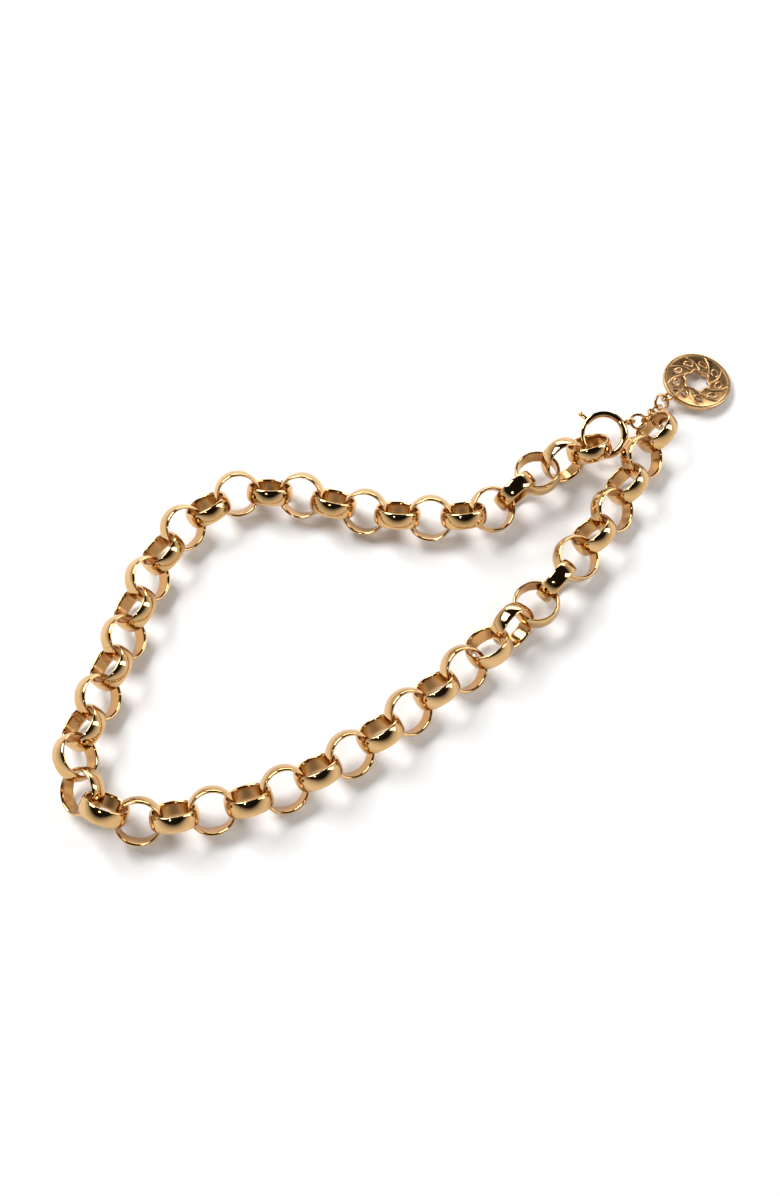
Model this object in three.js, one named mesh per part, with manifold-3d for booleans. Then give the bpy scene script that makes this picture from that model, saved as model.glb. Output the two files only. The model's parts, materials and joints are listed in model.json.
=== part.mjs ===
// Rolo-link chain necklace: half-round gold links, a spring-ring clasp, and a pierced tag on a small
// cable chain, lying on a table. Millimetres, +Z up, the table top at z = 0.
import * as THREE from "three";
import { mergeVertices } from "three/addons/utils/BufferGeometryUtils.js";
import Module from "manifold-3d";

const wasm = await Module();
wasm.setup();

// ---- main links ----
const LINK_COUNT = 46;
const LINK_BORE = 4.88; // radius of the flat inner wall
const LINK_WALL = 1.17; // how far the dome stands out from the inner wall
const LINK_WIDTH = 4.2; // across the band
const LINK_EDGE = 0.5; // rounding where the band's inner wall meets its sides
const LINK_SIDES = 16;
const DOME_SHOULDER = 0.85; // the dome's height at its shoulders, as a part of the wall
const DOME_SPREAD = 0.6; // where the shoulders are, as a part of the half width
const FIRST_LEAN = 42; // degrees that the first link leans, away from the front
const LINK_HEIGHT = 5.25; // of a leaning link's centre over the table
const LOOK_AHEAD = 5; // how far past each link the chain is aimed as it is laid

// ---- spring-ring clasp ----
const CLASP_RADIUS = 5.45; // to the middle of the tube
const CLASP_TUBE = 1.05; // outer radius of the tube
const CLASP_CHANNEL = 0.75; // inner radius of the tube
const BOLT_RADIUS = 0.6;
const MOUTH_START = 146; // degrees round the ring, from its right-hand side, where the tube stops
const MOUTH_END = 240; // and where it starts again
const BOLT_TRAVEL = 70; // degrees that the bolt slides back
const BOLT_ENTRY = 7; // degrees that the bolt's tip sits inside the far end of the tube
const LEVER_ANGLE = 137;
const LEVER_RADIUS = 0.55;
const LEVER_HEIGHT = 2.1; // above the outside of the tube
const LEVER_PLAY = 0.2;
const LEVER_HEAD = 1.1; // length of the lever's knob
const BOLT_TAIL = 19; // degrees of bolt behind the lever
const SPRING_STOP = -62; // degrees round the ring where the channel ends
const SPRING_WIRE = 0.12; // radius
const SPRING_COIL = 0.45; // radius to the middle of the wire
const SPRING_TURNS = 14;
const EYE_RADIUS = 1.15;
const EYE_WIRE = 0.4;
const SOLDER_GAP = 0.1;
const SOLDER_SPAN = 40; // degrees of tube that the eye is fitted against
const SLOT_RUN_OUT = 7; // degrees of slot past the lever when the clasp is open
const CUT_PAST = 5; // degrees that the cuts run past the tube's ends
const SOCKET_END = 3; // degrees of socket past the bolt's tip
const SPRING_END_PLAY = 2; // degrees between the spring and what it bears on
const DEGREES_A_STEP = 9; // how finely round pieces are stepped along the ring
const CLASP_TILT = 25; // degrees that the clasp leans to face the front
const EYE_ANGLE = 26; // degrees round from the right-hand side to the eye

// ---- jump rings and small chain ----
const END_RING_RADIUS = 2.8;
const END_RING_WIRE = 0.4;
const SMALL_RING_RADIUS = 2.0;
const SMALL_RING_WIRE = 0.37;
const TAG_RING_RADIUS = 2.3;
const TAG_RING_WIRE = 0.4;
const RING_PLAY = 0.2; // slack left in each hooked pair of rings
const END_RING_SEAT = 0.7; // from the band's inner wall to the end ring's middle
// Points that each ring is laid toward, from the last link to the clasp and to the tag.
const END_RING_TOWARD = [69.5, 51, 3.6];
const CLASP_CHAIN_TOWARD = [[66.2, 48.4, 8.3], [61.9, 46.9, 6.5], [58.6, 47.7, 6.7]];
const TAG_CHAIN_TOWARD = [[70.1, 56, 1.3], [73.4, 58.9, 3], [76.1, 60.6, 2.3]];

// ---- tag ----
const TAG_RADIUS = 9.1;
const TAG_THICKNESS = 1.3;
const TAG_FIELD = 0.95; // thickness inside the raised rim
const TAG_RIM = 0.8; // width of the raised rim
const TAG_BEVEL = 0.22; // broken edges of the rim
const TAG_HOLE_RADIUS = 1.3;
const TAG_HOLE_INSET = 1.1; // metal between the ring's hole and the edge
const PETAL_COUNT = 9;
const PETAL_RING = 5.9; // radius of the ring of petal-shaped holes
const PETAL_LENGTH = 1.05; // half the length of each hole
const PETAL_TAPER = 0.35;
const PETAL_SLIM = 0.62; // width as a part of length
const PETAL_SLANT = 62; // degrees round from the spoke
const ROSE_RADIUS = 3.1; // of the lobed hole in the middle
const ROSE_LOBES = 6;
const ROSE_WAVE = 0.35;
const TAG_HEADING = 212; // degrees round to the side that the ring's hole is on
const TAG_HOLE_LIFT = 0.17; // of the middle of its hole over the middle of its ring

const UP = new THREE.Vector3(0, 0, 1);
const LATHE_AXIS = new THREE.Vector3(0, 1, 0);
const radians = THREE.MathUtils.degToRad;
const vec = (x, y, z = 0) => new THREE.Vector3(x, y, z);

// ---- finishes ----
const polishedGold = () => new THREE.MeshStandardMaterial({ color: 0xe3b468, roughness: 0.16, metalness: 1 });
const wireGold = () => new THREE.MeshStandardMaterial({ color: 0xd9a45c, roughness: 0.24, metalness: 1 });
const antiqueGold = () => new THREE.MeshStandardMaterial({ color: 0xb98d52, roughness: 0.34, metalness: 1 });
const springSteel = () => new THREE.MeshStandardMaterial({ color: 0xb8bcc0, roughness: 0.3, metalness: 1 });

const necklace = new THREE.Group();
necklace.name = "chain_necklace";

function addPiece(name, geometry, material) {
  const mesh = new THREE.Mesh(geometry, material);
  mesh.name = name;
  necklace.add(mesh);
  return mesh;
}

// ---- solids: booleans between closed three.js geometries ----
function toSolid(geometry) {
  const bare = geometry.clone();
  bare.deleteAttribute("normal");
  bare.deleteAttribute("uv");
  const merged = mergeVertices(bare, 1e-4);
  const mesh = new wasm.Mesh({
    numProp: 3,
    vertProperties: new Float32Array(merged.attributes.position.array),
    triVerts: new Uint32Array(merged.index.array),
  });
  return new wasm.Manifold(mesh);
}

function toGeometry(solid) {
  const mesh = solid.getMesh();
  const geometry = new THREE.BufferGeometry();
  geometry.setAttribute("position", new THREE.BufferAttribute(new Float32Array(mesh.vertProperties), 3));
  geometry.setIndex(new THREE.BufferAttribute(new Uint32Array(mesh.triVerts), 1));
  return geometry;
}

function place(geometry, centre, turn) {
  return geometry.clone().applyQuaternion(turn).translate(centre.x, centre.y, centre.z);
}

function turnTo(axis) {
  return new THREE.Quaternion().setFromUnitVectors(LATHE_AXIS, axis);
}

// A ring of revolution about +Y from a closed outline of [radius, height] points.
function revolve(outline, sides) {
  const points = [...outline, outline[0]].map(([r, h]) => new THREE.Vector2(r, h));
  return new THREE.LatheGeometry(points, sides);
}

function wireRing(radius, wire, sides, wireSides) {
  const outline = [];
  for (let i = 0; i < wireSides; i += 1) {
    const a = ((i + 0.5) / wireSides) * 2 * Math.PI;
    outline.push([radius + wire * Math.cos(a), wire * Math.sin(a)]);
  }
  return revolve(outline, sides);
}

// ---- the half-round link ----
function linkGeometry() {
  const half = LINK_WIDTH / 2;
  const outline = [
    [LINK_BORE, half - LINK_EDGE],
    [LINK_BORE, LINK_EDGE - half],
    [LINK_BORE + LINK_EDGE, -half],
    [LINK_BORE + LINK_WALL * DOME_SHOULDER, -half * DOME_SPREAD],
    [LINK_BORE + LINK_WALL, 0],
    [LINK_BORE + LINK_WALL * DOME_SHOULDER, half * DOME_SPREAD],
    [LINK_BORE + LINK_EDGE, half],
  ];
  return revolve(outline, LINK_SIDES);
}

// ---- how the links hook ----
const wallReach = LINK_WIDTH / 2 - LINK_EDGE;
const facetBore = LINK_BORE * Math.cos(Math.PI / LINK_SIDES);

// The furthest apart that two hooked links sit. Turned out of square by `twist` degrees, the corners of
// their inner walls meet sooner.
function hookPitch(twist, slack) {
  const t = radians(Math.abs(twist));
  const corner = (wallReach * (1 + Math.sin(t))) / Math.cos(t);
  return 2 * Math.sqrt(facetBore ** 2 - corner ** 2) - slack;
}

// ---- how the chain lies ----
// Points along its middle line from the clasp round to the last link: across, away, and lift.
const LIE = [
  [51.5, 40.5], [43, 37], [39, 31.5, 0.8], [32.5, 27.5, 1.6], [25, 22.5, 0.8], [16, 20], [8, 19.5], [-8, 22.5, 0.3],
  [-24, 27], [-32, 27.5, 0.5], [-39.5, 26, 0.4], [-46.5, 22, 0.4], [-53, 16, 0.3], [-57.5, 9, 0.3], [-60.5, 1.5],
  [-65.5, -14], [-68, -22.5], [-71, -30.5], [-73.5, -39, 0.6], [-74.5, -46.5, 1.2],
  [-72.5, -54, 1.2], [-66.5, -59, 1.2], [-58.5, -61, 0.8], [-50, -60, 0.4], [-42, -58.5],
  [-33.5, -56.5], [-25, -53], [-9, -44], [6, -32], [18.5, -21.5], [31.5, -9.5, 0.7], [42.5, 3, 0.3], [53, 17],
  [58, 25], [62.5, 33.5], [66, 40.5, 0.4], [70, 46.5, 1],
];
const lie = new THREE.CatmullRomCurve3(
  LIE.map(([x, y, lift = 0]) => vec(x, y, LINK_HEIGHT + lift)),
  false,
  "centripetal",
);
lie.arcLengthDivisions = 2000;

// Runs of links, first to last, over which the chain rolls a quarter turn as it lies.
const ROLLS = [
  { first: 1, last: 5, turn: -90 },
  { first: 36, last: 41, turn: 90 },
];

// How slack the chain lies: round the left side, along the front, and up the right side.
const SLACKS = [
  { last: 26, slack: 0.62 },
  { last: 34, slack: 0.15 },
  { last: 46, slack: 0.25 },
];

function twistInto(index) {
  const roll = ROLLS.find(({ first, last }) => index >= first && index <= last);
  return roll ? roll.turn / (roll.last - roll.first + 1) : 0;
}

// Each link hooks the last one square, or nearly so where the chain rolls. Its step is the part of the
// way ahead that the last link lets it take.
function layLinks(count) {
  const laid = [];
  const length = lie.getLength();
  const centre = lie.getPointAt(0);
  const heading = lie.getTangentAt(0);
  const axis = UP.clone().applyAxisAngle(heading, radians(FIRST_LEAN));
  axis.addScaledVector(heading, -axis.dot(heading)).normalize();
  let travelled = 0;
  for (let i = 0; i < count; i += 1) {
    laid.push({ centre: centre.clone(), axis: axis.clone() });
    const twist = twistInto(i + 1);
    const { slack } = SLACKS.find(({ last }) => i + 1 <= last);
    const pitch = hookPitch(twist, slack);
    travelled += pitch;
    const target = lie.getPointAt(Math.min(1, (travelled + LOOK_AHEAD) / length));
    const step = target.sub(centre);
    step.addScaledVector(axis, -step.dot(axis)).normalize();
    axis.applyAxisAngle(step, radians(90 + twist));
    centre.addScaledVector(step, pitch);
  }
  return laid;
}

const links = layLinks(LINK_COUNT);
const linkShape = linkGeometry();
links.forEach(({ centre, axis }, i) => {
  const name = `link_${String(i + 1).padStart(2, "0")}`;
  addPiece(name, place(linkShape, centre, turnTo(axis)), polishedGold());
});

// ---- rings that join the last link to the clasp and to the tag ----
const smallRing = wireRing(SMALL_RING_RADIUS, SMALL_RING_WIRE, 16, 8);
const small = { shape: smallRing, radius: SMALL_RING_RADIUS, wire: SMALL_RING_WIRE };
const endRing = {
  shape: wireRing(END_RING_RADIUS, END_RING_WIRE, 20, 8),
  radius: END_RING_RADIUS,
  wire: END_RING_WIRE,
};
const tagRing = {
  shape: wireRing(TAG_RING_RADIUS, TAG_RING_WIRE, 18, 8),
  radius: TAG_RING_RADIUS,
  wire: TAG_RING_WIRE,
};
const eyeRing = { shape: null, radius: EYE_RADIUS, wire: EYE_WIRE };

// Where a ring hangs that hooks the last one square, on the side toward a point.
function hookOn(last, ring, toward) {
  const step = vec(...toward).sub(last.centre);
  step.addScaledVector(last.axis, -step.dot(last.axis)).normalize();
  const pitch = last.radius + ring.radius - last.wire - ring.wire - RING_PLAY;
  return {
    ...ring,
    centre: last.centre.clone().addScaledVector(step, pitch),
    axis: step.clone().cross(last.axis).normalize(),
    step,
  };
}

// The end ring lies round the band of the last link, its wire against the inside of the band.
function ringOnLink(link, toward) {
  const out = vec(...toward).sub(link.centre);
  out.addScaledVector(link.axis, -out.dot(link.axis)).normalize();
  return {
    ...endRing,
    centre: link.centre.clone().addScaledVector(out, LINK_BORE + END_RING_SEAT),
    axis: link.axis.clone().cross(out).normalize(),
  };
}

const end = ringOnLink(links[LINK_COUNT - 1], END_RING_TOWARD);
const claspLink1 = hookOn(end, small, CLASP_CHAIN_TOWARD[0]);
const claspLink2 = hookOn(claspLink1, small, CLASP_CHAIN_TOWARD[1]);
const eye = hookOn(claspLink2, eyeRing, CLASP_CHAIN_TOWARD[2]);
const tagLink1 = hookOn(end, small, TAG_CHAIN_TOWARD[0]);
const tagLink2 = hookOn(tagLink1, small, TAG_CHAIN_TOWARD[1]);
const tagLoop = hookOn(tagLink2, tagRing, TAG_CHAIN_TOWARD[2]);

Object.entries({
  end_ring: end,
  clasp_link_1: claspLink1,
  clasp_link_2: claspLink2,
  tag_link_1: tagLink1,
  tag_link_2: tagLink2,
  tag_ring: tagLoop,
}).forEach(([name, { shape, centre, axis }]) => {
  addPiece(name, place(shape, centre, turnTo(axis)), wireGold());
});

// ---- spring-ring clasp ----
// It is built round +Z with its eye at zero degrees, then tilted and put in its place.
const claspTurn = new THREE.Quaternion().setFromEuler(new THREE.Euler(radians(CLASP_TILT), 0, 0));
claspTurn.multiply(new THREE.Quaternion().setFromAxisAngle(UP, radians(EYE_ANGLE)));
const eyeSide = vec(1, 0, 0).applyQuaternion(claspTurn);
const claspCentre = eye.centre.clone().addScaledVector(eyeSide, -(CLASP_RADIUS + CLASP_TUBE + EYE_RADIUS));

class RingArc extends THREE.Curve {
  constructor(radius, from, to) {
    super();
    Object.assign(this, { radius, from, to });
  }

  getPoint(t, target = new THREE.Vector3()) {
    const a = radians(this.from + (this.to - this.from) * t);
    return target.set(this.radius * Math.cos(a), this.radius * Math.sin(a), 0);
  }
}

class CoilAlongRing extends THREE.Curve {
  constructor(from, to) {
    super();
    Object.assign(this, { from, to });
  }

  getPoint(t, target = new THREE.Vector3()) {
    const a = radians(this.from + (this.to - this.from) * t);
    const coil = 2 * Math.PI * SPRING_TURNS * t;
    const r = CLASP_RADIUS + SPRING_COIL * Math.cos(coil);
    return target.set(r * Math.cos(a), r * Math.sin(a), SPRING_COIL * Math.sin(coil));
  }
}

function roundShape(radius, sides) {
  const points = [];
  for (let i = 0; i < sides; i += 1) {
    const a = ((i + 0.5) / sides) * 2 * Math.PI;
    points.push(new THREE.Vector2(radius * Math.cos(a), radius * Math.sin(a)));
  }
  return new THREE.Shape(points);
}

function sweep(shape, path, steps) {
  return new THREE.ExtrudeGeometry(shape, { extrudePath: path, steps, curveSegments: 1 });
}

function arcRod(radius, from, to, sides = 12) {
  const steps = Math.max(1, Math.round(Math.abs(to - from) / DEGREES_A_STEP));
  return toSolid(sweep(roundShape(radius, sides), new RingArc(CLASP_RADIUS, from, to), steps));
}

const bolt = {
  tip: MOUTH_END + BOLT_ENTRY - EYE_ANGLE,
  tail: LEVER_ANGLE - BOLT_TAIL - EYE_ANGLE,
  lever: LEVER_ANGLE - EYE_ANGLE,
};
const mouth = { start: MOUTH_START - EYE_ANGLE, end: MOUTH_END - EYE_ANGLE };
const springStop = SPRING_STOP - EYE_ANGLE;

function claspTube() {
  const slotWidth = 2 * (LEVER_RADIUS + LEVER_PLAY);
  const slotEnd = bolt.lever - BOLT_TRAVEL - SLOT_RUN_OUT;
  const sector = new THREE.Shape();
  sector.absarc(0, 0, CLASP_RADIUS, radians(slotEnd), radians(mouth.start + CUT_PAST), false);
  sector.absarc(0, 0, CLASP_RADIUS + 2 * CLASP_TUBE, radians(mouth.start + CUT_PAST), radians(slotEnd), true);
  const slot = new THREE.ExtrudeGeometry(sector, {
    depth: slotWidth,
    bevelEnabled: false,
    curveSegments: 12,
  });
  slot.translate(0, 0, -slotWidth / 2);
  return arcRod(CLASP_TUBE, mouth.end - 360, mouth.start, 14)
    .subtract(arcRod(CLASP_CHANNEL, springStop, mouth.start + CUT_PAST))
    .subtract(arcRod(CLASP_CHANNEL, mouth.end - 360 - CUT_PAST, mouth.end - 360 + BOLT_ENTRY + SOCKET_END))
    .subtract(toSolid(slot));
}

function claspBolt() {
  const reach = CLASP_TUBE + LEVER_HEIGHT;
  const post = new THREE.LatheGeometry(
    [
      new THREE.Vector2(0, 0),
      new THREE.Vector2(LEVER_RADIUS, 0),
      new THREE.Vector2(LEVER_RADIUS, reach - LEVER_HEAD),
      new THREE.Vector2(LEVER_RADIUS * 1.25, reach - LEVER_HEAD / 2),
      new THREE.Vector2(LEVER_RADIUS * 1.1, reach - LEVER_HEAD / 8),
      new THREE.Vector2(0, reach),
    ],
    12,
  );
  post.translate(0, CLASP_RADIUS, 0).rotateZ(radians(bolt.lever - 90));
  return arcRod(BOLT_RADIUS, bolt.tail, bolt.tip).add(toSolid(post));
}

function claspSpring() {
  const coil = new CoilAlongRing(springStop + SPRING_END_PLAY, bolt.tail - SPRING_END_PLAY);
  return sweep(roundShape(SPRING_WIRE, 4), coil, SPRING_TURNS * 9);
}

function claspEye() {
  const ring = place(wireRing(EYE_RADIUS, EYE_WIRE, 18, 8), eye.centre, turnTo(eye.axis));
  const seat = place(toGeometry(arcRod(CLASP_TUBE + SOLDER_GAP, -SOLDER_SPAN, SOLDER_SPAN, 14)), claspCentre, claspTurn);
  return toSolid(ring).subtract(toSolid(seat));
}

addPiece("clasp_tube", place(toGeometry(claspTube()), claspCentre, claspTurn), polishedGold());
addPiece("clasp_eye", toGeometry(claspEye()), wireGold());
addPiece("clasp_bolt", place(toGeometry(claspBolt()), claspCentre, claspTurn), polishedGold());
addPiece("clasp_spring", place(claspSpring(), claspCentre, claspTurn), springSteel());

// ---- pierced tag ----
// It is built flat with its face up and the ring's hole toward +X.
function tagDisc() {
  const rimFoot = TAG_RADIUS - TAG_RIM;
  const disc = new THREE.LatheGeometry(
    [
      new THREE.Vector2(0, 0),
      new THREE.Vector2(TAG_RADIUS - TAG_BEVEL, 0),
      new THREE.Vector2(TAG_RADIUS, TAG_BEVEL),
      new THREE.Vector2(TAG_RADIUS, TAG_THICKNESS - TAG_BEVEL),
      new THREE.Vector2(TAG_RADIUS - TAG_BEVEL, TAG_THICKNESS),
      new THREE.Vector2(rimFoot, TAG_THICKNESS),
      new THREE.Vector2(rimFoot - TAG_BEVEL, TAG_FIELD),
      new THREE.Vector2(0, TAG_FIELD),
    ],
    48,
  );
  return toSolid(disc.rotateX(radians(90)));
}

function punch(points) {
  const cutter = new THREE.ExtrudeGeometry(new THREE.Shape(points), {
    depth: 2 * TAG_THICKNESS,
    bevelEnabled: false,
    curveSegments: 6,
  });
  return cutter.translate(0, 0, -TAG_THICKNESS / 2);
}

// A closed outline from its radius at each angle.
function outline(count, radiusAt) {
  const points = [];
  for (let i = 0; i < count; i += 1) {
    const a = (i / count) * 2 * Math.PI;
    points.push(new THREE.Vector2(radiusAt(a) * Math.cos(a), radiusAt(a) * Math.sin(a)));
  }
  return points;
}

const holeRadius = TAG_RADIUS - TAG_HOLE_INSET - TAG_HOLE_RADIUS;

function tagSolid() {
  const rose = outline(48, (a) => ROSE_RADIUS + ROSE_WAVE * Math.cos(ROSE_LOBES * a));
  let tag = tagDisc().subtract(toSolid(punch(rose)));
  const petal = outline(12, (a) => PETAL_LENGTH - PETAL_TAPER * Math.cos(a));
  petal.forEach((point) => point.set(point.x, PETAL_SLIM * point.y));
  const firstTurn = 360 / PETAL_COUNT / 2;
  for (let i = 0; i < PETAL_COUNT; i += 1) {
    const cutter = punch(petal);
    cutter.rotateZ(radians(PETAL_SLANT)).translate(PETAL_RING, 0, 0);
    cutter.rotateZ(radians(firstTurn + (360 / PETAL_COUNT) * i));
    tag = tag.subtract(toSolid(cutter));
  }
  const hole = punch(outline(14, () => TAG_HOLE_RADIUS));
  hole.translate(holeRadius, 0, 0);
  return tag.subtract(toSolid(hole));
}

// It rests on its far edge, tilted so that its hole is at the height of its ring. The ring passes
// through the hole where its wire rises to that height.
const holeHeight = tagLoop.centre.z + TAG_HOLE_LIFT;
const tagTilt = Math.asin((holeHeight - TAG_THICKNESS / 2) / (TAG_RADIUS + holeRadius));
const tagTurn = new THREE.Quaternion().setFromAxisAngle(UP, radians(TAG_HEADING));
tagTurn.multiply(new THREE.Quaternion().setFromAxisAngle(LATHE_AXIS, -tagTilt));
const holeMiddle = vec(holeRadius, 0, TAG_THICKNESS / 2).applyQuaternion(tagTurn);
const level = tagLoop.axis.clone().cross(UP).normalize();
const rise = level.clone().cross(tagLoop.axis);
const climb = Math.asin(TAG_HOLE_LIFT / (TAG_RING_RADIUS * rise.z));
const tagCentre = tagLoop.centre.clone();
tagCentre.addScaledVector(level, TAG_RING_RADIUS * Math.cos(climb));
tagCentre.addScaledVector(rise, TAG_RING_RADIUS * Math.sin(climb));
tagCentre.sub(holeMiddle);
addPiece("tag", place(toGeometry(tagSolid()), tagCentre, tagTurn), antiqueGold());

// ---- where the part stands ----
// The origin is the middle of the whole necklace, at the height of its lowest point.
const bounds = new THREE.Box3().setFromObject(necklace);
const middle = bounds.getCenter(new THREE.Vector3());
necklace.children.forEach(({ geometry }) => geometry.translate(-middle.x, -middle.y, -bounds.min.z));

export default necklace;
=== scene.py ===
import json
import math

import bmesh
import bpy
import numpy as np
from mathutils import Matrix, Vector


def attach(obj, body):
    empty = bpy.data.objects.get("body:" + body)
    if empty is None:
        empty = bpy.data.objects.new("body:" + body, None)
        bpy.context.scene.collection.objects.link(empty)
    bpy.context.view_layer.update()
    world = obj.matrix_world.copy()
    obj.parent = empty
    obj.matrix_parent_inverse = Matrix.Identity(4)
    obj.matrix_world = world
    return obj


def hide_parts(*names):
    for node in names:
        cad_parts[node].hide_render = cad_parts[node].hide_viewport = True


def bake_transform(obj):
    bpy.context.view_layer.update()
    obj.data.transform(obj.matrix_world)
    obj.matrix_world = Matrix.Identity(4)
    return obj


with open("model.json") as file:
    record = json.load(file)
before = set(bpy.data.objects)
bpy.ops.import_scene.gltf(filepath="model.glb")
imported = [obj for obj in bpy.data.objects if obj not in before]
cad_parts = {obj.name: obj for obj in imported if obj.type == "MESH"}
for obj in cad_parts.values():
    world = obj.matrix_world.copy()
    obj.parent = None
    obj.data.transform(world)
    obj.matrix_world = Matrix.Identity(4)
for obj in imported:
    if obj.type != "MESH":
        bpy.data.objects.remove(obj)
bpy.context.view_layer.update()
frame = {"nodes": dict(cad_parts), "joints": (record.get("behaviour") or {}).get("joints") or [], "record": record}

# ---- chain links ----
# Each link is a half-round band bent to a ring, flat inside and domed outside, with its edges rolled over.
# The two ends of the band meet at a hairline joint, which is turned to another side on each link.
# Nothing fastens the links: each one hangs in the next.
MM = 0.001
TAU = 2 * math.pi
LINK_COUNT = 46
BORE = 4.94
SHOULDER = 5.38
CROWN = 5.96
HALF = 2.03
FLAT = 1.4
DOME_FULLNESS = 0.9
JOINT_HALF = 0.035
JOINT_TURN = 137


# A polished metal with slowly drifting colour, fine rubbing marks and slightly uneven gloss.
def metal(name, bright, deep, gloss, dull, grain):
    mat = bpy.data.materials.new(name)
    mat.use_nodes = True
    tree = mat.node_tree
    tree.nodes.clear()
    new, link = tree.nodes.new, tree.links.new
    out, shader = new("ShaderNodeOutputMaterial"), new("ShaderNodeBsdfPrincipled")
    link(shader.outputs["BSDF"], out.inputs["Surface"])
    shader.inputs["Metallic"].default_value = 1.0
    where = new("ShaderNodeTexCoord")
    drift = new("ShaderNodeTexNoise")
    drift.inputs["Scale"].default_value = 110
    drift.inputs["Detail"].default_value = 4
    link(where.outputs["Object"], drift.inputs["Vector"])
    colour = new("ShaderNodeValToRGB")
    low, high = colour.color_ramp.elements
    low.position, low.color = 0.3, (*deep, 1)
    high.position, high.color = 0.7, (*bright, 1)
    link(drift.outputs["Fac"], colour.inputs["Fac"])
    rub = new("ShaderNodeTexNoise")
    rub.inputs["Scale"].default_value = 900
    rub.inputs["Detail"].default_value = 6
    link(where.outputs["Object"], rub.inputs["Vector"])
    rough = new("ShaderNodeMapRange")
    rough.inputs["From Min"].default_value, rough.inputs["From Max"].default_value = 0.3, 0.75
    rough.inputs["To Min"].default_value, rough.inputs["To Max"].default_value = gloss, dull
    link(rub.outputs["Fac"], rough.inputs["Value"])
    link(rough.outputs["Result"], shader.inputs["Roughness"])
    fine = new("ShaderNodeTexNoise")
    fine.inputs["Scale"].default_value = 5200
    fine.inputs["Detail"].default_value = 3
    stretch = new("ShaderNodeMapping")
    stretch.inputs["Scale"].default_value = (1, 1, 0.12)
    link(where.outputs["Object"], stretch.inputs["Vector"])
    link(stretch.outputs["Vector"], fine.inputs["Vector"])
    bump = new("ShaderNodeBump")
    bump.inputs["Strength"].default_value = grain
    bump.inputs["Distance"].default_value = 0.0001
    link(fine.outputs["Fac"], bump.inputs["Height"])
    link(bump.outputs["Normal"], shader.inputs["Normal"])
    link(colour.outputs["Color"], shader.inputs["Base Color"])
    return mat, {"tree": tree, "shader": shader, "colour": colour, "rough": rough}


# One axis of a point's place in its own piece, in millimetres.
def value_at(tree, axis):
    local = tree.nodes.new("ShaderNodeAttribute")
    local.attribute_name = "local"
    split = tree.nodes.new("ShaderNodeSeparateXYZ")
    tree.links.new(local.outputs["Vector"], split.inputs["Vector"])
    return split.outputs[axis]


def maths(tree, kind, a, b=None):
    node = tree.nodes.new("ShaderNodeMath")
    node.operation = kind
    for socket, value in zip(node.inputs, (a, b)):
        if isinstance(value, (int, float)):
            socket.default_value = value
        elif value is not None:
            tree.links.new(value, socket)
    return node.outputs[0]


# Laying one colour over another where a mask says so.
def over(tree, under, colour, mask):
    mix = tree.nodes.new("ShaderNodeMix")
    mix.data_type = "RGBA"
    mix.inputs["B"].default_value = (*colour, 1)
    tree.links.new(mask, mix.inputs["Factor"])
    tree.links.new(under, mix.inputs["A"])
    return mix.outputs["Result"]


# The inner wall is a little duller and carries a painted reflection: a darker orange tint standing in for light
# bounced round inside the ring. The joint in the band shows as a dark hairline.
def link_gold():
    mat, n = metal("link_gold", (0.71, 0.46, 0.22), (0.59, 0.36, 0.145), 0.05, 0.13, 0.03)
    tree, link = n["tree"], n["tree"].links.new
    x, y = value_at(tree, "X"), value_at(tree, "Y")
    square = maths(tree, "ADD", maths(tree, "MULTIPLY", x, x), maths(tree, "MULTIPLY", y, y))
    inner = maths(tree, "LESS_THAN", maths(tree, "SQRT", square), BORE + 0.05)
    near = maths(tree, "LESS_THAN", maths(tree, "ABSOLUTE", y), JOINT_HALF)
    seam = maths(tree, "MULTIPLY", near, maths(tree, "GREATER_THAN", x, 0))
    # Painted reflection and shade: the bore is tinted a darker orange in place of light bounced round inside the
    # ring.
    inside_painted_bounce = over(tree, n["colour"].outputs["Color"], (0.55, 0.30, 0.115), inner)
    dark = over(tree, inside_painted_bounce, (0.16, 0.07, 0.02), maths(tree, "MULTIPLY", seam, 0.8))
    link(dark, n["shader"].inputs["Base Color"])
    duller = maths(tree, "ADD", n["rough"].outputs["Result"], maths(tree, "MULTIPLY", inner, 0.08))
    link(duller, n["shader"].inputs["Roughness"])
    return mat


LINK_GOLD = link_gold()


# Turning an outline of (radius, height) points into a ring, whole or with its ends capped.
def lathe(profile, start=0.0, turn=TAU, steps=96, closed=True):
    bm = bmesh.new()
    spin = Matrix.Rotation(start, 3, "Z")
    verts = [bm.verts.new(spin @ Vector((r * MM, 0, h * MM))) for r, h in profile]
    edges = [bm.edges.new((a, b)) for a, b in zip(verts, verts[1:])]
    if closed:
        edges.append(bm.edges.new((verts[-1], verts[0])))
    whole = abs(turn - TAU) < 1e-6
    bmesh.ops.spin(bm, geom=verts + edges, axis=(0, 0, 1), cent=(0, 0, 0), angle=turn, steps=steps,
                   use_merge=whole, use_normal_flip=False)
    bmesh.ops.remove_doubles(bm, verts=bm.verts, dist=1e-8)
    if not whole:
        bmesh.ops.holes_fill(bm, edges=[e for e in bm.edges if e.is_boundary], sides=0)
    bmesh.ops.recalc_face_normals(bm, faces=bm.faces)
    return bm


def link_outline():
    quarter = math.pi / 2
    dome = [(SHOULDER + (CROWN - SHOULDER) * math.cos(a) ** DOME_FULLNESS, HALF * math.sin(a))
            for a in np.linspace(-quarter * 0.995, quarter * 0.995, 25)]
    top = [(SHOULDER - (SHOULDER - BORE) * math.sin(a), FLAT + (HALF - FLAT) * math.cos(a))
           for a in np.linspace(0.15, quarter, 7)]
    inside = [(BORE, FLAT * t) for t in (0.6, 0.2, -0.2, -0.6)]
    foot = [(r, -h) for r, h in top[::-1]]
    return dome + top + inside + foot


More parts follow.
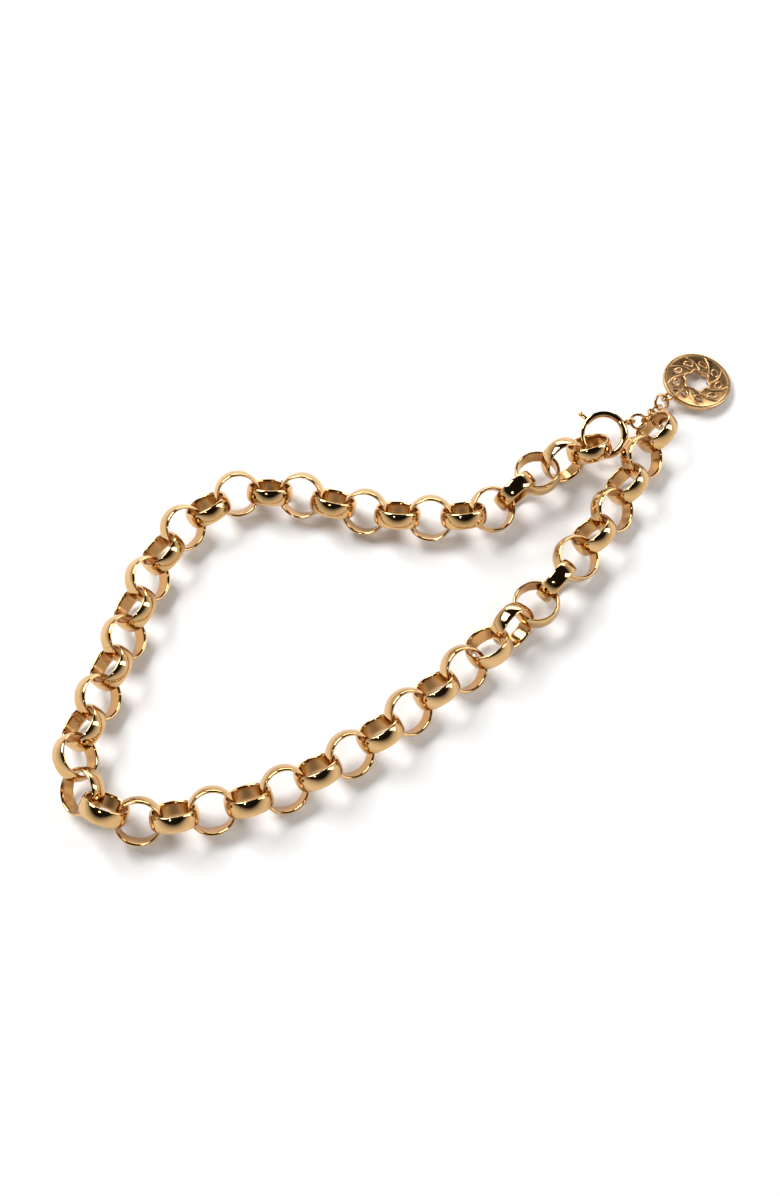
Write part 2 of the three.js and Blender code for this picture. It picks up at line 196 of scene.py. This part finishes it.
# Where a round piece sits in the frame: the middle of its ring and the ring's axis.
def ring_place(node):
    points = np.array([v.co for v in frame["nodes"][node].data.vertices])
    points = np.unique(points.round(7), axis=0)
    centre = points.mean(0)
    axis = np.linalg.eigh((points - centre).T @ (points - centre))[1][:, 0]
    axis = Vector(axis if axis[2] >= 0 else -axis).normalized()
    return Vector(centre), axis


def matrix_to(centre, axis, side):
    z = Vector(axis).normalized()
    x = (Vector(side) - z * Vector(side).dot(z)).normalized()
    turn = Matrix((x, z.cross(x), z)).transposed().to_4x4()
    return Matrix.Translation(centre) @ turn


# Each point keeps its place in its own piece, so that a finish can follow the piece's shape.
def finish_mesh(mesh, name, place, material, sharp=40):
    count = len(mesh.vertices)
    local = np.zeros(count * 3, np.float32)
    mesh.vertices.foreach_get("co", local)
    if "local" in mesh.attributes:
        mesh.attributes.remove(mesh.attributes["local"])
    mesh.attributes.new("local", "FLOAT_VECTOR", "POINT").data.foreach_set("vector", local / MM)
    mesh.transform(place)
    mesh.polygons.foreach_set("use_smooth", np.ones(len(mesh.polygons), bool))
    mesh.set_sharp_from_angle(angle=math.radians(sharp))
    mesh.materials.clear()
    mesh.materials.append(material)
    mesh.update()
    obj = bpy.data.objects.new(name, mesh)
    bpy.context.scene.collection.objects.link(obj)
    return obj


def put(obj, body, node=None):
    if node:
        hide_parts(node)
    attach(obj, body)


blank = lathe(link_outline(), steps=144)
link_mesh = bpy.data.meshes.new("link")
blank.to_mesh(link_mesh)
blank.free()
for i in range(1, LINK_COUNT + 1):
    name = f"link_{i:02d}"
    centre, axis = ring_place(name)
    side = Matrix.Rotation(math.radians(JOINT_TURN * i), 3, axis) @ axis.orthogonal()
    piece = finish_mesh(link_mesh.copy(), f"band_{i:02d}", matrix_to(centre, axis, side), LINK_GOLD)
    put(piece, name, name)
bpy.data.meshes.remove(link_mesh)

# ---- jump rings and the fine chain ----
# Each is a piece of round gold-coloured wire, bent until its two cut ends nearly meet.
# They hang in one another and in the last link, the clasp's eye and the tag, with nothing soldered.
WIRE_GOLD = metal("wire_gold", (0.62, 0.385, 0.17), (0.46, 0.26, 0.10), 0.10, 0.24, 0.08)[0]
SMALL = (2.0, 0.37)
RINGS = {"end_ring": (2.8, 0.4), "clasp_link_1": SMALL, "clasp_link_2": SMALL,
         "tag_link_1": SMALL, "tag_link_2": SMALL, "tag_ring": (2.3, 0.4)}
WIRE_GAP = 0.05


def circle(radius, middle, count):
    turns = [TAU * i / count for i in range(count)]
    return [(middle + radius * math.cos(a), radius * math.sin(a)) for a in turns]


def to_mesh(bm, name, place, material, sharp=40):
    mesh = bpy.data.meshes.new(name)
    bm.to_mesh(mesh)
    bm.free()
    return finish_mesh(mesh, name, place, material, sharp)


for k, (name, (radius, thick)) in enumerate(RINGS.items()):
    centre, axis = ring_place(name)
    gap = WIRE_GAP / radius
    bm = lathe(circle(thick, radius, 20), start=gap / 2, turn=TAU - gap, steps=112)
    side = Matrix.Rotation(math.radians(80 + 50 * k), 3, axis) @ axis.orthogonal()
    put(to_mesh(bm, f"ring_{name}", matrix_to(centre, axis, side), WIRE_GOLD), name, name)

# ---- spring-ring clasp: the tube ----
# A hollow tube bent to a ring, left open at one side and slotted along its outside for the lever.
# A rolled collar finishes the end that takes the bolt's nose. Angles are in degrees round the ring.
CLASP_GOLD = metal("clasp_gold", (0.71, 0.465, 0.225), (0.6, 0.365, 0.15), 0.05, 0.12, 0.03)[0]
CLASP = 5.45
TUBE = 0.96
CHANNEL = 0.74
MOUTH, FAR_END = 120, 214
STOP, SLOT = -88, 34
COLLAR = 0.14
slide = next(j for j in frame["joints"] if j["name"] == "bolt_slide")
eye_centre, eye_axis = ring_place("clasp_eye")
clasp_centre = Vector(slide["pos_m"])
clasp_up = -Vector(slide["axis"])
clasp_place = matrix_to(clasp_centre, clasp_up, eye_centre - clasp_centre)


def arc(radius, start, end, sides=40, step=1.5):
    turn = math.radians(end - start)
    steps = int((end - start) / step)
    return lathe(circle(radius, CLASP, sides), start=math.radians(start), turn=turn, steps=steps)


def on_ring(angle):
    return Matrix.Rotation(math.radians(angle), 4, "Z") @ Matrix.Translation((CLASP * MM, 0, 0))


# Cutting shapes out of a blank, with every cutter taken away afterwards.
def cut(bm, cutters):
    mesh = bpy.data.meshes.new("blank")
    bm.to_mesh(mesh)
    bm.free()
    blank = bpy.data.objects.new("blank", mesh)
    bpy.context.scene.collection.objects.link(blank)
    tools = []
    for i, cutter in enumerate(cutters):
        cutter_mesh = bpy.data.meshes.new("cutter")
        cutter.to_mesh(cutter_mesh)
        cutter.free()
        tool = bpy.data.objects.new("cutter", cutter_mesh)
        bpy.context.scene.collection.objects.link(tool)
        step = blank.modifiers.new(f"cut_{i}", "BOOLEAN")
        step.operation, step.solver, step.object = "DIFFERENCE", "EXACT", tool
        tools.append(tool)
    graph = bpy.context.evaluated_depsgraph_get()
    out = bpy.data.meshes.new_from_object(blank.evaluated_get(graph))
    for o in [blank, *tools]:
        bpy.data.objects.remove(o)
    return out


slot = [(CLASP, -0.75), (CLASP + 3, -0.75), (CLASP + 3, 0.75), (CLASP, 0.75)]
tube = cut(arc(TUBE, FAR_END - 360, MOUTH), [
    arc(CHANNEL, STOP, MOUTH + 5),
    arc(CHANNEL, FAR_END - 365, FAR_END - 350),
    lathe(slot, start=math.radians(SLOT), turn=math.radians(MOUTH + 5 - SLOT), steps=80),
])
put(finish_mesh(tube, "clasp_ring_tube", clasp_place, CLASP_GOLD, 30), "clasp", "clasp_tube")
bm = lathe(circle(COLLAR, TUBE - 0.03, 14), steps=64)
bm.transform(on_ring(FAR_END + 1.4) @ Matrix.Rotation(math.pi / 2, 4, "X"))
put(to_mesh(bm, "clasp_collar_far", clasp_place, CLASP_GOLD), "clasp")

# ---- spring-ring clasp: the eye ----
# A small ring of wire that the fine chain hooks on to.
# It stands on edge on the outside of the tube, held by a fillet of solder.
EYE, EYE_WIRE = 1.15, 0.4
eye_middle = clasp_centre + clasp_place.to_3x3() @ Vector(((CLASP + TUBE + EYE) * MM, 0, 0))
bm = lathe(circle(EYE_WIRE, EYE, 18), steps=72)
eye = to_mesh(bm, "clasp_eye_ring", matrix_to(eye_middle, eye_axis, clasp_up), WIRE_GOLD)
put(eye, "clasp", "clasp_eye")
bm = lathe([(0, -0.2), (0.62, -0.2), (0.5, 0.0), (0.4, 0.22), (0, 0.3)], steps=32, closed=False)
bm.transform(Matrix.Translation(((CLASP + TUBE) * MM, 0, 0)) @ Matrix.Rotation(math.pi / 2, 4, "Y"))
put(to_mesh(bm, "clasp_solder", clasp_place, WIRE_GOLD), "clasp")

# ---- spring-ring clasp: the bolt ----
# A curved rod with a rounded nose that slides in the tube and shuts its mouth.
# A finger pulls it back by a small knobbed lever, fixed to the rod and standing out of the slot.
ROD = 0.54
LEVER, TAIL, TIP = 111, 92, 221
NOSE = 4
bm = arc(ROD, TAIL, TIP - NOSE, 28)
put(to_mesh(bm, "clasp_bolt_rod", clasp_place, CLASP_GOLD), "bolt", "clasp_bolt")
rounded = [(0, 0.6), (0.24, 0.53), (0.42, 0.37), (0.53, 0.15), (ROD, -0.1), (0, -0.1)]
bm = lathe(rounded, steps=32, closed=False)
bm.transform(on_ring(TIP - NOSE) @ Matrix.Rotation(-math.pi / 2, 4, "X"))
put(to_mesh(bm, "clasp_bolt_nose", clasp_place, CLASP_GOLD), "bolt")
stem = [(0, -0.2), (0.53, -0.2), (0.53, 1.7), (0.5, 2.0), (0.55, 2.15), (0.66, 2.35),
        (0.7, 2.6), (0.66, 2.85), (0.5, 3.06), (0.25, 3.14), (0, 3.16)]
bm = lathe(stem, steps=40, closed=False)
bm.transform(on_ring(LEVER) @ Matrix.Rotation(math.pi / 2, 4, "Y"))
put(to_mesh(bm, "clasp_lever", clasp_place, CLASP_GOLD), "bolt")

# ---- spring-ring clasp: the spring ----
# A fine steel wire coiled inside the tube, behind the bolt.
# Its far end rests in the tube and its near end lies just behind the bolt's tail; the coil is one fixed shape.
SPRING_STEEL = metal("spring_steel", (0.66, 0.67, 0.68), (0.45, 0.46, 0.48), 0.2, 0.35, 0.1)[0]
COILS, COIL_STEPS = 14, 20
COIL, COIL_WIRE = 0.45, 0.12
COIL_START, COIL_END = STOP + 2, TAIL - 5


# A round wire that follows a list of points, closed on itself or with capped ends.
def wire(points, radius, sides=10, closed=True):
    bm = bmesh.new()
    pts = [Vector(p) for p in points]
    n = len(pts)
    rows = []
    normal = None
    for i, p in enumerate(pts):
        before = pts[i - 1] if closed or i else p
        after = pts[(i + 1) % n] if closed or i < n - 1 else p
        along = (after - before).normalized()
        if normal is None:
            normal = along.orthogonal().normalized()
        normal = (normal - along * normal.dot(along)).normalized()
        other = along.cross(normal)
        turns = [TAU * k / sides for k in range(sides)]
        rows.append([bm.verts.new(p + (normal * math.cos(t) + other * math.sin(t)) * radius) for t in turns])
    last = n if closed else n - 1
    for i in range(last):
        a, b = rows[i], rows[(i + 1) % n]
        shift = 0
        if closed and i == n - 1:
            shift = min(range(sides), key=lambda s: (b[s].co - a[0].co).length)
        for k in range(sides):
            bm.faces.new((a[k], a[(k + 1) % sides], b[(k + 1 + shift) % sides], b[(k + shift) % sides]))
    if not closed:
        bm.faces.new(rows[0][::-1])
        bm.faces.new(rows[-1])
    bmesh.ops.recalc_face_normals(bm, faces=bm.faces)
    return bm


coil = []
for i in range(COILS * COIL_STEPS + 1):
    t = i / (COILS * COIL_STEPS)
    a, c = math.radians(COIL_START + (COIL_END - COIL_START) * t), TAU * COILS * t
    r = CLASP + COIL * math.cos(c)
    coil.append((r * math.cos(a) * MM, r * math.sin(a) * MM, COIL * math.sin(c) * MM))
coil = to_mesh(wire(coil, COIL_WIRE * MM, 8, False), "clasp_coil", clasp_place, SPRING_STEEL)
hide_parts("clasp_spring")
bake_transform(coil)

# ---- pierced tag ----
# A round cast disc with a raised rim and a sunk field, pierced by a lobed hole and nine slanted petals.
# It hangs on its ring by a round hole near the rim. The cast surface is softer than the polished links.
TAG = 9.1
THICK = 1.3
FIELD = 0.95
RIM = 0.8
HOLE = 1.3
HOLE_INSET = 1.1
PETALS = 9
HEADING = math.radians(212)


# The gold is browner in the sunk field than on the raised rim and outlines.
def tag_gold():
    mat, n = metal("tag_gold", (0.72, 0.47, 0.235), (0.6, 0.37, 0.165), 0.24, 0.4, 0.07)
    tree = n["tree"]
    sunk = maths(tree, "LESS_THAN", value_at(tree, "Z"), FIELD + 0.05)
    brown = over(tree, n["colour"].outputs["Color"], (0.5, 0.27, 0.11), maths(tree, "MULTIPLY", sunk, 0.55))
    tree.links.new(brown, n["shader"].inputs["Base Color"])
    return mat


TAG_GOLD = tag_gold()
back = next(m for m in frame["record"]["mounts"] if m["name"] == "tag_back")
tag_up = -Vector(back["axis"]).normalized()
heading = Vector((math.cos(HEADING), math.sin(HEADING), 0))
tag_turn = matrix_to((0, 0, 0), tag_up, heading).to_3x3()
points = np.array([tag_turn.transposed() @ v.co for v in frame["nodes"]["tag"].data.vertices])
low, high = points.min(0), points.max(0)
tag_centre = tag_turn @ Vector(((low[0] + high[0]) / 2, (low[1] + high[1]) / 2, low[2]))
tag_place = matrix_to(tag_centre, tag_up, heading)


def rose(a, grow=0.0):
    return 3.1 + grow + 0.35 * math.cos(6 * a)


def petal(a, turn, grow=0.0):
    r = 1.05 - 0.35 * math.cos(a) + grow
    p = Matrix.Rotation(math.radians(62), 3, "Z") @ Vector((r * math.cos(a), 0.62 * r * math.sin(a), 0))
    return Matrix.Rotation(turn, 3, "Z") @ (p + Vector((5.9, 0, 0)))


def cutter(outline):
    bm = bmesh.new()
    face = bm.faces.new([bm.verts.new((x * MM, y * MM, -1 * MM)) for x, y in outline])
    up = bmesh.ops.extrude_face_region(bm, geom=[face])
    raised = [v for v in up["geom"] if isinstance(v, bmesh.types.BMVert)]
    bmesh.ops.translate(bm, vec=(0, 0, 3 * MM), verts=raised)
    bmesh.ops.recalc_face_normals(bm, faces=bm.faces)
    return bm


around = [TAU * i / 96 for i in range(96)]
turns = [TAU / PETALS * (i + 0.5) for i in range(PETALS)]
disc = [(0, 0), (TAG - 0.3, 0), (TAG - 0.1, 0.05), (TAG, 0.22), (TAG, THICK - 0.3), (TAG - 0.08, THICK - 0.1),
        (TAG - 0.28, THICK), (TAG - RIM + 0.2, THICK), (TAG - RIM, THICK - 0.08),
        (TAG - RIM - 0.14, FIELD + 0.06), (TAG - RIM - 0.3, FIELD), (0, FIELD)]
middle = TAG - HOLE_INSET - HOLE
cutters = [cutter([(rose(a) * math.cos(a), rose(a) * math.sin(a)) for a in around])]
cutters += [cutter([petal(a, t)[:2] for a in around[::2]]) for t in turns]
cutters.append(cutter([(middle + HOLE * math.cos(a), HOLE * math.sin(a)) for a in around[::2]]))
tag = cut(lathe(disc, steps=192, closed=False), cutters)
put(finish_mesh(tag, "tag_disc", tag_place, TAG_GOLD, 32), "tag", "tag")

# ---- raised work on the tag ----
# Rounded outlines stand round the lobed hole and round each petal, cast in one with the disc.
# Ribs swirl from the lobed hole to the rim between the petals, but for the place where the tag's ring goes.
z = FIELD * MM
line = [(rose(a, 0.22) * math.cos(a) * MM, rose(a, 0.22) * math.sin(a) * MM, z) for a in around]
put(to_mesh(wire(line, 0.26 * MM), "tag_rose_edge", tag_place, TAG_GOLD), "tag")
for i, t in enumerate(turns):
    line = [petal(a, t, 0.16) * MM + Vector((0, 0, z)) for a in around[::2]]
    put(to_mesh(wire(line, 0.17 * MM, 8), f"tag_petal_edge_{i + 1}", tag_place, TAG_GOLD), "tag")
for i in range(1, PETALS):
    line = []
    for k in range(19):
        u = k / 18
        a, r = TAU / PETALS * i + math.radians(-18 + 36 * u), 3.75 + 4.45 * u
        line.append((r * math.cos(a) * MM, r * math.sin(a) * MM, z + 0.05 * MM * math.sin(math.pi * u)))
    put(to_mesh(wire(line, 0.22 * MM, 10, False), f"tag_rib_{i + 1}", tag_place, TAG_GOLD), "tag")

# ---- table, light and camera ----
# A round white table lit by one large window-like panel from the upper left, with smaller panels round it.
# The room is pale low down and dark overhead, so that the polished bands show dark streaks.
TABLE_REACH = 0.42
bm = bmesh.new()
bmesh.ops.create_circle(bm, cap_ends=True, segments=128, radius=TABLE_REACH)
floor_mesh = bpy.data.meshes.new("table_top")
bm.to_mesh(floor_mesh)
bm.free()
floor = bpy.data.objects.new("table_top", floor_mesh)
bpy.context.scene.collection.objects.link(floor)
floor.location.z = -0.0001
paper = bpy.data.materials.new("paper")
paper.use_nodes = True
inputs = paper.node_tree.nodes["Principled BSDF"].inputs
inputs["Base Color"].default_value = (0.97, 0.97, 0.97, 1)
inputs["Roughness"].default_value = 0.9
inputs["Specular IOR Level"].default_value = 0.1
floor_mesh.materials.append(paper)


def panel(name, where, width, height, power):
    data = bpy.data.lights.new(name, "AREA")
    data.shape, data.size, data.size_y, data.energy = "RECTANGLE", width, height, power
    lamp = bpy.data.objects.new(name, data)
    lamp.location = where
    lamp.rotation_euler = (-Vector(where)).to_track_quat("-Z", "Y").to_euler()
    bpy.context.scene.collection.objects.link(lamp)


panel("window", (-0.62, 0.42, 0.85), 0.7, 0.5, 13.5)
panel("side", (0.75, 0.1, 0.5), 0.25, 0.6, 3)
panel("lamp", (-0.22, -0.42, 0.62), 0.05, 0.05, 0.45)
panel("back", (0.1, 0.9, 0.35), 0.9, 0.25, 3.6)

world = bpy.data.worlds.new("room")
world.use_nodes = True
bpy.context.scene.world = world
nodes, link = world.node_tree.nodes, world.node_tree.links.new
sky = nodes.new("ShaderNodeTexCoord")
split = nodes.new("ShaderNodeSeparateXYZ")
ramp = nodes.new("ShaderNodeValToRGB")
below, above = ramp.color_ramp.elements
below.position, below.color = 0.0, (1.1, 1.1, 1.1, 1)
above.position, above.color = 0.55, (0.012, 0.011, 0.01, 1)
mid = ramp.color_ramp.elements.new(0.3)
mid.color = (0.7, 0.69, 0.67, 1)
link(sky.outputs["Generated"], split.inputs["Vector"])
link(split.outputs["Z"], ramp.inputs["Fac"])
link(ramp.outputs["Color"], nodes["Background"].inputs["Color"])
nodes["Background"].inputs["Strength"].default_value = 1.0

camera = bpy.data.objects.new("camera", bpy.data.cameras.new("camera"))
camera.data.lens = 55.57
camera.data.sensor_width = 36
camera.data.clip_end = 10
camera.location = (-0.0056, -0.2127, 0.4143)
camera.rotation_euler = Vector((0, 0.2096, -0.4139)).to_track_quat("-Z", "Y").to_euler()
bpy.context.scene.collection.objects.link(camera)
bpy.context.scene.camera = camera
bpy.context.scene.view_settings.view_transform = "Standard"
